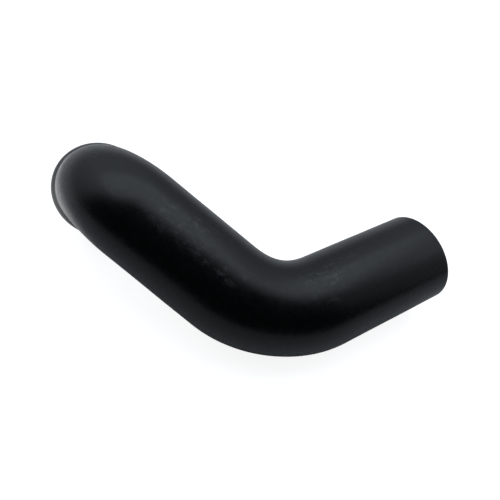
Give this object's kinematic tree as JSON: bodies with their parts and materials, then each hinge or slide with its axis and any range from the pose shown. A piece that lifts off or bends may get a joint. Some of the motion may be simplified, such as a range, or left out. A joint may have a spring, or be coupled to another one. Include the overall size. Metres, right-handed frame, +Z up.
{
  "type": "turbo intake hose",
  "caption": "Black moulded rubber air hose with two bends in different planes, open straight-cut ends for pipe spigots and a slightly wider cuff at its outlet.",
  "frame": {"origin": "under the middle of the hose, on the surface that it lies on", "axes": "+Z up, +X out of the inlet's mouth along the inlet leg, +Y towards the side that the outlet lies on"},
  "size_m": [0.2412, 0.2344, 0.1041],
  "materials": {
    "black_rubber": "satin moulded skin, faint chalky marks"
  },
  "bodies": {
    "root": {"hose": "black_rubber"}
  },
  "joints": []
}
